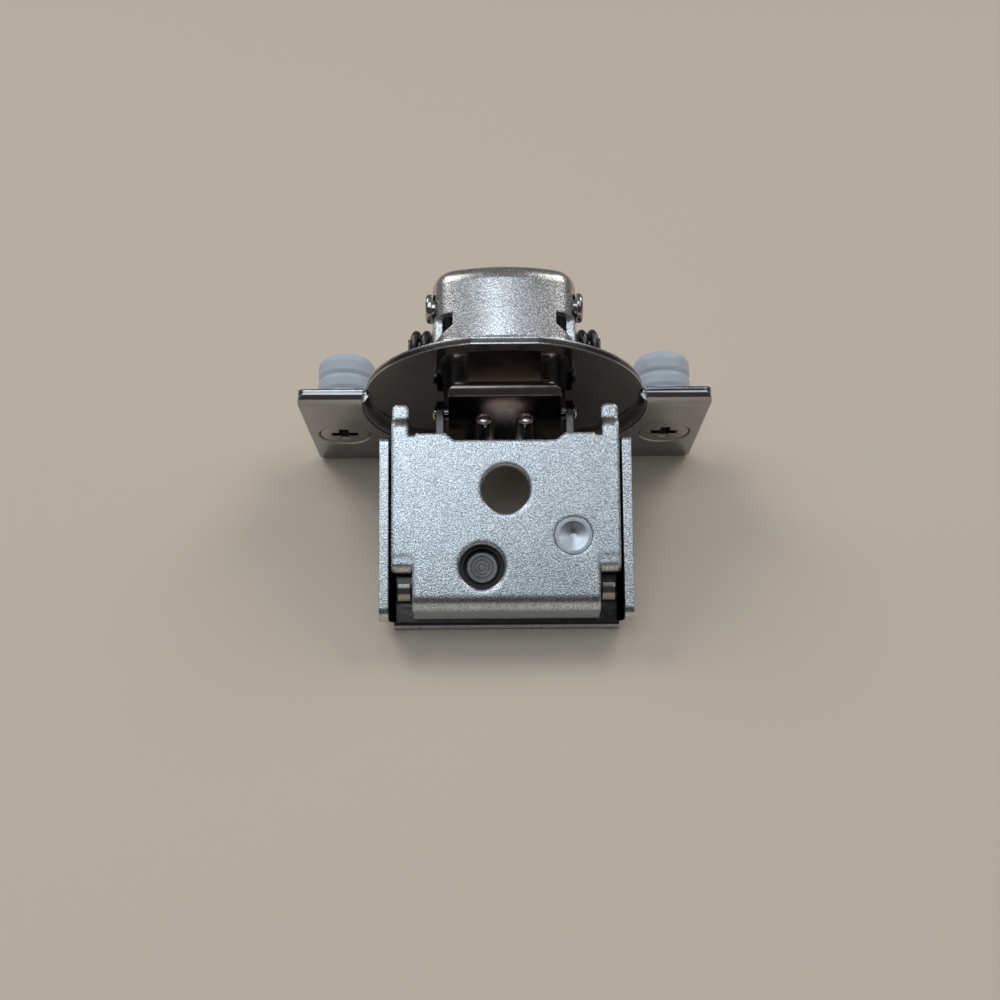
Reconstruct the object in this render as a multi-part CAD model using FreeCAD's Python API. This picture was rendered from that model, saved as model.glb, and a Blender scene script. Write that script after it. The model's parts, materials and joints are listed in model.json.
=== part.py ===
import FreeCAD, Part
import math
import os
from FreeCAD import Vector

# A compact concealed cup hinge for a face frame, in millimetres, hinge axis along X, +Z up.
# It stands like a tent, as it does when it is laid down loose: on the near edge of its arm
# and on the lower edges of the two ears of its cup.
#
# The arm side is built in the plate frame: x, u from the near end towards the cup,
# and n out of the mounting plate's contact face.
# The cup side is built in the cup frame: x, l up the flange from the line of the two
# screws, and depth f behind the front face of the ears, kept as z = -f.

# Sheets and clearances
SHEET = 1.2
THIN_SHEET = 1.0
RUN = 0.05
SLIDE_GAP = 0.15
AIR = 0.3

# Mounting plate
PLATE_END = 23.5
RECESS_HALF = 6.4
RECESS_DEPTH = 0.9
RECESS_SLOPE = 1.1
RECESS_ROUND = 0.4
HOOK_WIDTH = 2.1
HOOK_FLAT = 1.1
HOOK_STEP = 1.0
HOOK_TIP = 1.7
HOOK_BEND = 0.4
HOOK_ROUND = 0.7
RELIEF_WIDTH = 0.9
RELIEF_DEPTH = 0.3
CORNER_WIDTH = 2.6
TAB_U = 6.1
TAB_LEG = 3.2
TAB_BEND = 0.3
TAB_COIN = 0.1
TAB_COIN_LENGTH = 2.15
NEAR_U = 1.8
NEAR_LEG = 3.8
NEAR_ANGLE = 70.0
NEAR_BEND = 0.8
RIM_RADIUS = 0.45

# Holes in the plate
FRAME_HOLE_R = 2.95
FRAME_HOLE_U = 16.4
FRAME_HEAD_R = 4.8
SIDE_HOLE_R = 2.75
SIDE_X = -3.0
SIDE_U = 6.8
CAM_X = 8.35
CAM_U = 10.55

# Depth cam, riveted flush in the plate
CAM_HEAD_R = 2.35
CAM_NECK_R = 1.7
CAM_CONE_R = 1.85
CAM_CONE_DEPTH = 0.3
CAM_THROW = 1.05
CAM_DISC_R = 2.0
CAM_SLOT_GAP = 0.08
CAM_FLANGE_R = 3.4
CAM_FLANGE = 0.6
CAM_DRIVE_R = 2.4
CAM_DRIVE = 1.2
CAM_SWING = 50.0
DEPTH_TRAVEL = 0.8

# Carriage between the plate and the arm
CARRIAGE_END = 21.5
CARRIAGE_NEAR = 4.6
CARRIAGE_SHOULDER = 8.9
CARRIAGE_SHOULDER_WIDTH = 2.7
CARRIAGE_LEG = 3.65
CARRIAGE_BEND = 0.4
DIMPLE_R = 2.9
DIMPLE_WALL = 0.6
DIMPLE_DEPTH = 1.6

# Side adjusting screw
FOOT_R = 1.9
FOOT = 0.8
RING_STEP = 0.45
RING_DEPTH = 0.08
SCREW_NECK_R = 1.25
COLLAR_R = 2.0
COLLAR = 0.7
SIDE_THREAD_R = 1.95
SIDE_THREAD = 5.6
SIDE_TRAVEL = 2.0

# Arm channel and the bracket inside it
ARM_HALF = 15.7
ARM_DEPTH = 7.4
ARM_NEAR = 0.2
ARM_END = 23.1
WALL_TOP = 0.1
WALL_CORNER_R = 1.6
LIP_U = 0.85
LIP_INSET = 1.35
LIP_ROUND = 0.8
ARM_BEND = 0.5
SLOT_GAP = 0.15
BRACKET_END = 21.0
BRACKET_NEAR = 0.1
DRIVER_HALF = 5.2
DRIVER_U = 11.2
CAM_ACCESS_R = 2.9
POST_WIDTH = 2.0
POST_U = 2.6
POST_TOP = 2.6
POST_CAP = 2.3
POST_BEND = 0.8
POST_ROUND = 0.5
EAR_OUT = 8.95
RIVET_EDGE = 1.9
RIVET_U = 18.6
RIVET_R = 1.2
RIVET_HEAD_R = 1.8
RIVET_HEAD = 0.6

# Goose neck, the curved arm that reaches into the cup
NECK_WIDE = 7.35
NECK_NARROW = 4.9
NECK_TAPER_U = 30.0
NECK_TAPER = 2.2
NECK_ROOT = (22.0, -10.8)
NECK_SHOULDER = (30.1, -4.2)
NECK_KNEE = (38.9, -8.4)
NECK_LEG_ANGLE = 100.0
NECK_LEG = 9.7
NECK_BEND = 0.9
NECK_HUB_R = 1.9
NECK_RIB_R = 1.25
NECK_RIB_X = 2.75
NECK_RIB_LENGTH = 5.2
FRONT_PIN = (27.7, -8.4)
REAR_PIN = (23.9, -11.5)
ARM_PIN_R = 1.0
ARM_PIN_PROUD = 0.5
ARM_PIN_CHAMFER = 0.2
NECK_TAPER_ROUND = 1.2
NECK_RIB_START = 0.2
CHEEK_EDGE = 0.4
CHEEK_OUT = 2.0
CHEEK_DOWN = 1.9
CHEEK_ROUND = 1.2
PIN_BOSS_R = 1.9
BRACKET_EAR_NEAR = 13.8
BRACKET_EAR_TOP = 20.0
DRIVER_ROUND = 2.0

# Cup, flange and ears, pressed from one sheet
CUP_SHEET = 1.0
EAR_HALF = 27.3
EAR_TOP = 12.75
EAR_DROP = 9.9
EAR_CORNER_R = 0.9
LIP = 1.85
LIP_BEND = 0.45
FLANGE_STEP = 1.5
FLANGE_R = 18.4
FLANGE_L = 9.5
CHORD_CUT = 0.45
CREASE = 1.0
CREASE_BEND = 0.5
CUP_HALF = 9.0
CUP_MARGIN = 0.85
CUP_FRONT_R = 22.0
CUP_BACK_L = -1.0
CUP_DEPTH = 13.2
CUP_CORNER_R = 3.4
CUP_EDGE_R = 2.4
SKIRT_R = 0.6
WINDOW_IN = 6.35
WINDOW_OUT = 8.6
WINDOW_TOP = 6.6
WINDOW_BEND = 4.9
WINDOW_FOOT = 3.3
SLOT_INSET = 4.4
SLOT_SIZE = 1.7

# Pivot of the door and the spring studs, in the cup frame
PIVOT_INSET = 3.8
PIVOT_F = 8.4
PIVOT_R = 1.1
PIVOT_HEAD_R = 1.85
PIVOT_HEAD = 0.75
SPACER_R = 1.45
SPACER_LENGTH = 0.9
STUD_INSET = 3.8
STUD_F = 5.1
STUD_R = 0.82
STUD_END = 12.2
STUD_BUTTON = 0.45
STUD_BUTTON_LENGTH = 1.05
STUD_INSIDE = 0.5
WIRE = 1.04
COIL_R = 1.42
COIL_START = 9.75
COIL_PITCH = 1.32
COIL_TURNS = 1.5
SPRING_FOOT = 4.6
SPRING_REACH = 2.3

# Dowels and their screws
SCREW_SPACING = 45.0
DOWEL_R = 4.0
DOWEL_LENGTH = 10.3
DOWEL_NOSE = 1.5
RIDGE_FIRST = 8.0
RIDGE_PITCH = 2.3
RIDGE_GROOVE = 1.1
RIDGE_DEPTH = 0.25
HEAD_R = 3.55
HEAD_CONE = 1.9
SHANK_R = 1.5
SHANK_END = 10.4
CROSS_LENGTH = 3.9
CROSS_WIDTH = 1.35
CROSS_HUB_R = 1.0
CROSS_TAPER = 0.45
HEAD_SUNK = 0.15
HEAD_RING = 0.14
SHANK_POINT = 1.5
SHANK_TIP_R = 0.4
CROSS_DEPTH = 1.3

# Where the door pivot lies from the plate, and how far past closed the loose hinge swings
PIVOT_U = 39.04
PIVOT_N = 1.22
OVER_CLOSE = 10.0

# Positions closer than this are taken as the same
TINY = 1e-4

# Half widths of what fits between the arm's walls
PLATE_HALF = ARM_HALF - SHEET - AIR
CARRIAGE_HALF = ARM_HALF - SHEET - ARM_BEND
CARRIAGE_INNER_HALF = CARRIAGE_HALF - CARRIAGE_SHOULDER_WIDTH
LIP_HALF = ARM_HALF - LIP_INSET
POST_IN = CARRIAGE_HALF - POST_WIDTH
SLOT_HALF = EAR_OUT + SLOT_GAP
RIVET_X = SLOT_HALF + RIVET_EDGE

# The flange's flat, the cup's front wall behind it, and the pivot and studs inside that wall
CHORD_L = FLANGE_L + FLANGE_R - CHORD_CUT
CUP_FRONT_L = CHORD_L - CUP_MARGIN
PIVOT_L = CUP_FRONT_L - PIVOT_INSET
STUD_L = PIVOT_L - STUD_INSET
SLOT_L = STUD_L - SLOT_INSET

X = Vector(1, 0, 0)
Y = Vector(0, 1, 0)
Z = Vector(0, 0, 1)


def rounded(corners):
    """A closed 2-D outline of (a, b, radius) corners, as edges in the XY plane."""
    starts, ends, middles = [], [], []
    count = len(corners)
    for i, (a, b, radius) in enumerate(corners):
        p = Vector(a, b, 0)
        before = Vector(corners[i - 1][0], corners[i - 1][1], 0)
        after = Vector(corners[(i + 1) % count][0], corners[(i + 1) % count][1], 0)
        back = (before - p).normalize()
        onward = (after - p).normalize()
        if radius <= 0:
            starts.append(p)
            ends.append(p)
            middles.append(None)
            continue
        half = back.getAngle(onward) / 2
        reach = radius / math.tan(half)
        inward = (back + onward).normalize()
        centre = p + inward * (radius / math.sin(half))
        starts.append(p + back * reach)
        ends.append(p + onward * reach)
        middles.append(centre - inward * radius)
    edges = []
    for i in range(count):
        if middles[i]:
            edges.append(Part.Arc(starts[i], middles[i], ends[i]).toShape())
        following = starts[(i + 1) % count]
        if (following - ends[i]).Length > 1e-6:
            edges.append(Part.LineSegment(ends[i], following).toShape())
    return edges


def face_of(corners):
    return Part.Face(Part.Wire(rounded(corners)))


def across_x(corners, x0, x1):
    """The outline of (u or l, n or z) corners, extruded along X from x0 to x1."""
    solid = face_of(corners).extrude(Z * (x1 - x0))
    solid.Placement = FreeCAD.Placement(X * x0, FreeCAD.Rotation(Y, Z, X, "ZXY"))
    return solid


def flat(corners, z0, z1):
    """The outline of (x, y) corners, extruded along Z from z0 to z1."""
    solid = face_of(corners).extrude(Z * (z1 - z0))
    solid.translate(Z * z0)
    return solid


def box(x0, x1, y0, y1, z0, z1):
    corner = Vector(min(x0, x1), min(y0, y1), min(z0, z1))
    return Part.makeBox(abs(x1 - x0), abs(y1 - y0), abs(z1 - z0), corner)


def strip(path, thickness, bend):
    """Corners of a bent sheet: path runs along its left face and the sheet lies to its right."""
    left, right = [], []
    last = len(path) - 1
    for i, (a, b) in enumerate(path):
        p = Vector(a, b, 0)
        into = (p - Vector(*path[i - 1], 0)).normalize() if i else None
        out = (Vector(*path[i + 1], 0) - p).normalize() if i < last else None
        d0 = into or out
        d1 = out or into
        side0 = Vector(d0.y, -d0.x, 0)
        side1 = Vector(d1.y, -d1.x, 0)
        miter = (side0 + side1).normalize()
        q = p + miter * (thickness / miter.dot(side0))
        turn = d0.cross(d1).z
        inner, outer = (bend, bend + thickness) if turn > 0 else (bend + thickness, bend)
        if abs(turn) < 1e-9:
            inner = outer = 0
        left.append((p.x, p.y, inner))
        right.append((q.x, q.y, outer))
    return left + right[::-1]


def rod(start, end, radius):
    return Part.makeCylinder(radius, (end - start).Length, start, end - start)


def rod_x(y, z, radius, x0, x1):
    return rod(Vector(x0, y, z), Vector(x1, y, z), radius)


def rod_z(x, y, radius, z0, z1):
    return rod(Vector(x, y, min(z0, z1)), Vector(x, y, max(z0, z1)), radius)


def cone_z(x, y, r0, z0, r1, z1):
    return Part.makeCone(r0, r1, abs(z1 - z0), Vector(x, y, z0), Z if z1 > z0 else -Z)


def both_sides(shape):
    return [shape, shape.mirror(Vector(0, 0, 0), X)]


def joined(shapes):
    return shapes[0].fuse(shapes[1:]).removeSplitter() if len(shapes) > 1 else shapes[0]


def edges_where(shape, test):
    return [e for e in shape.Edges if test(e)]


def ring_edge(radius, z):
    """Tells the circular edges of one radius at one height."""
    def test(edge):
        level = abs(edge.BoundBox.ZMin - z) < TINY and abs(edge.BoundBox.ZMax - z) < TINY
        return level and isinstance(edge.Curve, Part.Circle) and abs(edge.Curve.Radius - radius) < TINY
    return test


def cross_recess(x, y, top, down, length, width, depth):
    """A cross-shaped driver recess that tapers towards its floor; down is +1 or -1 along Z."""
    half = length / 2
    floor = half * CROSS_TAPER
    wings = []
    for a, b in ((1, 0), (0, 1)):
        outline = [Vector(-half, 0, 0), Vector(half, 0, 0), Vector(floor, 0, down * depth),
                   Vector(-floor, 0, down * depth), Vector(-half, 0, 0)]
        wing = Part.Face(Part.makePolygon(outline)).extrude(Y * width)
        wing.translate(Y * (-width / 2))
        if b:
            wing.rotate(Vector(0, 0, 0), Z, 90)
        wing.translate(Vector(x, y, top))
        wings.append(wing)
    hub = cone_z(x, y, CROSS_HUB_R, top, CROSS_HUB_R * CROSS_TAPER, top + down * depth)
    return wings[0].fuse([wings[1], hub])


# Heights of the layers under the plate's contact face
carriage_top = SHEET + SLIDE_GAP
carriage_floor = carriage_top + THIN_SHEET
arm_floor = ARM_DEPTH - SHEET
bracket_top = arm_floor - THIN_SHEET
dimple_floor = carriage_top + DIMPLE_DEPTH
corner_in = PLATE_HALF - CORNER_WIDTH
hook_in = PLATE_HALF - HOOK_WIDTH


def mounting_plate():
    near = math.radians(NEAR_ANGLE)
    near_tip = (NEAR_U - NEAR_LEG * math.cos(near), -NEAR_LEG * math.sin(near))
    middle = across_x(strip([near_tip, (NEAR_U, 0), (PLATE_END, 0)], SHEET, NEAR_BEND),
                      -corner_in, corner_in)
    side_path = [(TAB_U, -TAB_LEG), (TAB_U, 0), (PLATE_END, 0)]
    side = across_x(strip(side_path, SHEET, TAB_BEND), corner_in, PLATE_HALF)
    step_u = PLATE_END + HOOK_FLAT
    hook_path = [(PLATE_END - HOOK_FLAT, 0), (step_u, 0), (step_u + HOOK_STEP, -HOOK_STEP),
                 (step_u + HOOK_STEP + HOOK_TIP, -HOOK_STEP)]
    hook = across_x(strip(hook_path, SHEET, HOOK_BEND), hook_in, PLATE_HALF)
    hook_root = PLATE_END - HOOK_FLAT
    hook_end = step_u + HOOK_STEP + HOOK_TIP
    hook = hook.common(flat([(hook_in, hook_root, 0), (PLATE_HALF, hook_root, 0),
                             (PLATE_HALF, hook_end, HOOK_ROUND), (hook_in, hook_end, HOOK_ROUND)],
                            -(SHEET + HOOK_STEP), 0))
    plate = joined([middle] + both_sides(side) + both_sides(hook))

    slope = RECESS_HALF + RECESS_SLOPE
    recess = flat([(-slope, PLATE_END, 0), (-RECESS_HALF, PLATE_END - RECESS_DEPTH, RECESS_ROUND),
                   (RECESS_HALF, PLATE_END - RECESS_DEPTH, RECESS_ROUND), (slope, PLATE_END, 0)],
                  -SHEET, 0)
    relief = box(hook_in - RELIEF_WIDTH, hook_in, PLATE_END - RELIEF_DEPTH, PLATE_END, -SHEET, 0)
    coin = box(corner_in - TAB_COIN, PLATE_HALF, TAB_U, TAB_U + TAB_COIN_LENGTH, -TAB_COIN, 0)
    cuts = [recess] + both_sides(relief) + both_sides(coin)
    cuts.append(rod_z(0, FRAME_HOLE_U, FRAME_HOLE_R, -SHEET, 0))
    cuts.append(rod_z(SIDE_X, SIDE_U, SIDE_HOLE_R, -SHEET, 0))
    cuts.append(cone_z(CAM_X, CAM_U, CAM_HEAD_R + RUN, 0, CAM_NECK_R + RUN, -(SHEET - AIR)))
    cuts.append(rod_z(CAM_X, CAM_U, CAM_NECK_R + RUN, -SHEET, 0))
    plate = plate.cut(cuts)
    rims = edges_where(plate, ring_edge(FRAME_HOLE_R, 0)) + edges_where(plate, ring_edge(SIDE_HOLE_R, 0))
    return plate.makeFillet(RIM_RADIUS, rims)


def depth_cam():
    neck_top = -(SHEET - AIR)
    under = -(SHEET + RUN)
    disc_floor = -(carriage_floor + RUN)
    flange_floor = disc_floor - CAM_FLANGE
    drive_floor = flange_floor - CAM_DRIVE
    head = cone_z(CAM_X, CAM_U, CAM_HEAD_R, 0, CAM_NECK_R, neck_top)
    neck = rod_z(CAM_X, CAM_U, CAM_NECK_R, neck_top, under)
    disc = rod_z(CAM_X + CAM_THROW, CAM_U, CAM_DISC_R, under, disc_floor)
    flange = rod_z(CAM_X, CAM_U, CAM_FLANGE_R, disc_floor, flange_floor)
    drive = rod_z(CAM_X, CAM_U, CAM_DRIVE_R, flange_floor, drive_floor)
    cam = joined([head, neck, disc, flange, drive])
    dish = cone_z(CAM_X, CAM_U, CAM_CONE_R, 0, 0, -CAM_CONE_DEPTH)
    recess = cross_recess(CAM_X, CAM_U, drive_floor, 1, CAM_DRIVE_R * 1.4, CROSS_WIDTH, CAM_DRIVE * 0.8)
    return cam.cut([dish, recess])


def carriage():
    top = -carriage_top
    section = strip([(-CARRIAGE_HALF, top - CARRIAGE_LEG), (-CARRIAGE_HALF, top),
                     (CARRIAGE_HALF, top), (CARRIAGE_HALF, top - CARRIAGE_LEG)],
                    THIN_SHEET, CARRIAGE_BEND)
    saddle = face_of(section).extrude(Z * (CARRIAGE_END - CARRIAGE_SHOULDER))
    saddle.rotate(Vector(0, 0, 0), X, 90)
    saddle.translate(Y * CARRIAGE_END)
    tongue = box(-CARRIAGE_INNER_HALF, CARRIAGE_INNER_HALF, CARRIAGE_NEAR, CARRIAGE_SHOULDER,
                 top, -carriage_floor)
    dimple = rod_z(SIDE_X, SIDE_U, DIMPLE_R, top, -(dimple_floor + DIMPLE_WALL))
    body = joined([saddle, tongue, dimple])

    swing_x = CAM_THROW * (1 - math.cos(math.radians(CAM_SWING)))
    slot_r = CAM_DISC_R + CAM_SLOT_GAP
    slot_ends = [CAM_X + CAM_THROW - swing_x, CAM_X + CAM_THROW]
    cam_slot = [rod_z(x, CAM_U, slot_r, -carriage_floor, top) for x in slot_ends]
    cam_slot.append(box(slot_ends[0], slot_ends[1], CAM_U - slot_r, CAM_U + slot_r, -carriage_floor, top))
    driver = [rod_z(0, FRAME_HOLE_U + side * DEPTH_TRAVEL, FRAME_HEAD_R, -carriage_floor, top)
              for side in (-1, 1)]
    driver.append(box(-FRAME_HEAD_R, FRAME_HEAD_R, FRAME_HOLE_U - DEPTH_TRAVEL,
                      FRAME_HOLE_U + DEPTH_TRAVEL, -carriage_floor, top))
    seat = rod_z(SIDE_X, SIDE_U, DIMPLE_R - DIMPLE_WALL, top, -dimple_floor)
    neck_hole = rod_z(SIDE_X, SIDE_U, SCREW_NECK_R + RUN, top, -(dimple_floor + DIMPLE_WALL))
    return body.cut(cam_slot + driver + [seat, neck_hole])


def side_screw():
    foot_floor = -(dimple_floor - RUN)
    foot_top = foot_floor + FOOT
    collar_top = -(dimple_floor + DIMPLE_WALL + RUN)
    collar_floor = collar_top - COLLAR
    end = collar_floor - SIDE_THREAD
    foot = rod_z(SIDE_X, SIDE_U, FOOT_R, foot_floor, foot_top)
    neck = rod_z(SIDE_X, SIDE_U, SCREW_NECK_R, collar_top, foot_floor)
    collar = rod_z(SIDE_X, SIDE_U, COLLAR_R, collar_floor, collar_top)
    thread = rod_z(SIDE_X, SIDE_U, SIDE_THREAD_R, end, collar_floor)
    screw = joined([foot, neck, collar, thread])
    rings = []
    radius = RING_STEP
    while radius < FOOT_R - RING_STEP / 2:
        outer = rod_z(SIDE_X, SIDE_U, radius + RING_DEPTH, foot_top - RING_DEPTH, foot_top)
        rings.append(outer.cut(rod_z(SIDE_X, SIDE_U, radius - RING_DEPTH, foot_top - RING_DEPTH, foot_top)))
        radius += RING_STEP
    recess = cross_recess(SIDE_X, SIDE_U, end, 1, SIDE_THREAD_R * 1.5, CROSS_WIDTH, CROSS_DEPTH)
    return screw.cut(rings + [recess])


def arm_channel():
    base = box(-LIP_HALF, LIP_HALF, -(LIP_U - ARM_NEAR), ARM_NEAR + SHEET, -ARM_DEPTH, -arm_floor)
    lip_end = ARM_NEAR - LIP_U
    near_edge = edges_where(base, lambda e: e.BoundBox.YMax < lip_end + TINY
                            and e.BoundBox.ZMin > -arm_floor - TINY)
    base = base.makeFillet(LIP_ROUND, near_edge)
    section = strip([(-ARM_HALF, -WALL_TOP), (-ARM_HALF, -ARM_DEPTH), (ARM_HALF, -ARM_DEPTH),
                     (ARM_HALF, -WALL_TOP)][::-1], SHEET, ARM_BEND)
    trough = face_of(section).extrude(Z * (ARM_END - ARM_NEAR))
    trough.rotate(Vector(0, 0, 0), X, 90)
    trough.translate(Y * ARM_END)
    side_view = across_x([(ARM_NEAR, -ARM_DEPTH, 0), (ARM_NEAR, -WALL_TOP, WALL_CORNER_R),
                          (ARM_END, -WALL_TOP, WALL_CORNER_R / 2), (ARM_END, -ARM_DEPTH, WALL_CORNER_R)],
                         -ARM_HALF, ARM_HALF)
    channel = joined([trough.common(side_view), base])
    opening = flat([(-SLOT_HALF, DRIVER_U, DRIVER_ROUND), (SLOT_HALF, DRIVER_U, DRIVER_ROUND),
                    (SLOT_HALF, ARM_END + SHEET, 0), (-SLOT_HALF, ARM_END + SHEET, 0)],
                   -ARM_DEPTH, -arm_floor)
    screw_hole = rod_z(SIDE_X, SIDE_U, SIDE_THREAD_R + RUN, -ARM_DEPTH, -arm_floor)
    access = rod_z(CAM_X, CAM_U, CAM_ACCESS_R, -ARM_DEPTH, -arm_floor)
    rivet_holes = both_sides(rod_z(RIVET_X, RIVET_U, RIVET_R, -ARM_DEPTH, -arm_floor))
    return channel.cut([opening, screw_hole, access] + rivet_holes)


def pivot_bracket():
    half = CARRIAGE_HALF
    floor = box(-half, half, BRACKET_NEAR, BRACKET_END, -bracket_top, -arm_floor)
    post_path = [(POST_U, -arm_floor), (POST_U, -POST_TOP), (POST_U + POST_CAP, -POST_TOP)]
    post = across_x(strip(post_path, THIN_SHEET, POST_BEND), POST_IN, half)
    outer_rim = edges_where(post, lambda e: e.BoundBox.XMin > half - TINY and e.BoundBox.ZMin < -POST_TOP
                            and e.BoundBox.ZMax > -POST_TOP - POST_BEND - THIN_SHEET
                            and e.BoundBox.YMin < POST_U + TINY)
    post = post.makeFillet(POST_ROUND, outer_rim)
    ear_in = EAR_OUT - THIN_SHEET
    boss = PIN_BOSS_R
    corner = boss * 0.8
    ear = across_x([(BRACKET_EAR_NEAR, -bracket_top, 0), (BRACKET_EAR_TOP, -bracket_top, boss),
                    (FRONT_PIN[0] + boss / 2, FRONT_PIN[1] + boss, corner),
                    (FRONT_PIN[0] + boss, FRONT_PIN[1] - boss / 2, corner),
                    (REAR_PIN[0] + boss, REAR_PIN[1] - boss, corner),
                    (REAR_PIN[0] - boss, REAR_PIN[1] - boss / 2, corner),
                    (BRACKET_EAR_NEAR, -arm_floor, 0)], ear_in, EAR_OUT)
    bracket = joined([floor] + both_sides(post) + both_sides(ear))
    driver = flat([(-DRIVER_HALF, DRIVER_U, DRIVER_ROUND), (DRIVER_HALF, DRIVER_U, DRIVER_ROUND),
                   (DRIVER_HALF, BRACKET_END, 0), (-DRIVER_HALF, BRACKET_END, 0)],
                  -arm_floor, -bracket_top)
    screw_hole = rod_z(SIDE_X, SIDE_U, SIDE_THREAD_R + RUN, -arm_floor, -bracket_top)
    access = rod_z(CAM_X, CAM_U, CAM_ACCESS_R, -arm_floor, -bracket_top)
    rivet_holes = both_sides(rod_z(RIVET_X, RIVET_U, RIVET_R, -arm_floor, -bracket_top))
    pin_holes = [rod_x(u, n, ARM_PIN_R, -EAR_OUT, EAR_OUT) for u, n in (FRONT_PIN, REAR_PIN)]
    return bracket.cut([driver, screw_hole, access] + rivet_holes + pin_holes)


def bracket_rivets():
    shapes = []
    for x in (-RIVET_X, RIVET_X):
        shank = rod_z(x, RIVET_U, RIVET_R, -ARM_DEPTH, -bracket_top)
        upper = cone_z(x, RIVET_U, RIVET_HEAD_R, -bracket_top, RIVET_R, -bracket_top + RIVET_HEAD)
        lower = cone_z(x, RIVET_U, RIVET_HEAD_R, -ARM_DEPTH, RIVET_R, -ARM_DEPTH - RIVET_HEAD)
        shapes.append(joined([shank, upper, lower]))
    return Part.makeCompound(shapes)


def goose_neck():
    leg = math.radians(NECK_LEG_ANGLE)
    top = (NECK_KNEE[0] + NECK_LEG * math.cos(leg), NECK_KNEE[1] + NECK_LEG * math.sin(leg))
    path = [NECK_ROOT, NECK_SHOULDER, NECK_KNEE, top]
    web = across_x(strip(path, SHEET, NECK_BEND), -NECK_WIDE, NECK_WIDE)
    taper_end = NECK_TAPER_U + NECK_TAPER
    far = PIVOT_U + NECK_HUB_R * 2
    near = NECK_ROOT[0] - SHEET
    ease = NECK_TAPER_ROUND
    plan = flat([(-NECK_WIDE, near, 0), (NECK_WIDE, near, 0), (NECK_WIDE, NECK_TAPER_U, ease),
                 (NECK_NARROW, taper_end, ease), (NECK_NARROW, far, 0), (-NECK_NARROW, far, 0),
                 (-NECK_NARROW, taper_end, ease), (-NECK_WIDE, NECK_TAPER_U, ease)],
                -ARM_DEPTH * 2, PIVOT_N + NECK_HUB_R * 2)
    web = web.common(plan)
    hub = rod_x(PIVOT_U, PIVOT_N, NECK_HUB_R, -NECK_NARROW, NECK_NARROW)
    edge, out, down, ease = CHEEK_EDGE, CHEEK_OUT, CHEEK_DOWN, CHEEK_ROUND
    cheek = across_x([(NECK_ROOT[0] + edge, NECK_ROOT[1] - edge, 0),
                      (NECK_SHOULDER[0] - out / 2, NECK_SHOULDER[1] - out / 2, 0),
                      (FRONT_PIN[0] + out, FRONT_PIN[1] + edge, ease),
                      (FRONT_PIN[0] + edge, FRONT_PIN[1] - down, ease),
                      (REAR_PIN[0] + edge, REAR_PIN[1] - down, ease),
                      (REAR_PIN[0] - out, REAR_PIN[1] - edge, ease / 2)],
                     NECK_WIDE - SHEET, NECK_WIDE)
    slope = Vector(0, NECK_SHOULDER[0] - NECK_ROOT[0], NECK_SHOULDER[1] - NECK_ROOT[1]).normalize()
    root = Vector(0, NECK_ROOT[0], NECK_ROOT[1])
    ribs = []
    for x in (-NECK_RIB_X, NECK_RIB_X):
        start = root + X * x + slope * NECK_RIB_START
        ribs.append(rod(start, start + slope * NECK_RIB_LENGTH, NECK_RIB_R))
        ribs.append(Part.makeSphere(NECK_RIB_R, start + slope * NECK_RIB_LENGTH))
    neck = joined([web, hub] + both_sides(cheek) + ribs)
    holes = [rod_x(u, n, ARM_PIN_R, -NECK_WIDE, NECK_WIDE) for u, n in (FRONT_PIN, REAR_PIN)]
    bore = rod_x(PIVOT_U, PIVOT_N, PIVOT_R + RUN, -NECK_WIDE, NECK_WIDE)
    return neck.cut(holes + [bore])


def arm_pin(u, n):
    reach = EAR_OUT + ARM_PIN_PROUD
    pin = rod_x(u, n, ARM_PIN_R, -reach, reach)
    ends = edges_where(pin, lambda e: isinstance(e.Curve, Part.Circle))
    return pin.makeChamfer(ARM_PIN_CHAMFER, ends)


# The cup side, in the cup frame with depth kept as z = -f
flange_front = -FLANGE_STEP
flange_back = -(FLANGE_STEP + CUP_SHEET)


def cup_outline(inset):
    """Outline of the drawn box in plan; its front wall is a shallow arc about the flange's side."""
    half = CUP_HALF - inset
    radius = CUP_FRONT_R - inset
    centre_l = CUP_FRONT_L - CUP_FRONT_R
    corner_l = centre_l + math.sqrt(radius ** 2 - half ** 2)
    corner_r = CUP_CORNER_R - inset
    back = CUP_BACK_L + inset
    base = face_of([(-half, back, corner_r), (half, back, corner_r),
                    (half, corner_l + CUP_FRONT_R, 0), (-half, corner_l + CUP_FRONT_R, 0)])
    disc = Part.Face(Part.Wire(Part.makeCircle(radius, Vector(0, centre_l, 0))))
    return base.common(disc), corner_r


def cup_box(inset, z_top, z_bottom):
    outline, corner_r = cup_outline(inset)
    solid = outline.extrude(Z * (z_top - z_bottom))
    solid.translate(Z * z_bottom)
    solid = Part.Solid(solid.Solids[0])
    uprights = edges_where(solid, lambda e: e.BoundBox.ZLength > 1 and e.BoundBox.XLength < TINY
                           and e.BoundBox.YMin > PIVOT_L)
    solid = solid.makeFillet(corner_r, uprights)
    rim = edges_where(solid, lambda e: e.BoundBox.ZMax < z_bottom + TINY)
    return solid.makeFillet(CUP_EDGE_R - inset, rim)


def at_skirt(edge):
    """Tells the edges where the drawn box's front wall meets the back of the flange."""
    reach = edge.BoundBox
    level = abs(reach.ZMin - flange_back) < TINY and abs(reach.ZMax - flange_back) < TINY
    within = reach.XMax < CUP_HALF + TINY and reach.XMin > -CUP_HALF - TINY
    in_front = reach.YMax < CUP_FRONT_L + TINY and reach.YMin > CUP_FRONT_L - CUP_CORNER_R * 2
    return level and within and in_front


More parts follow.
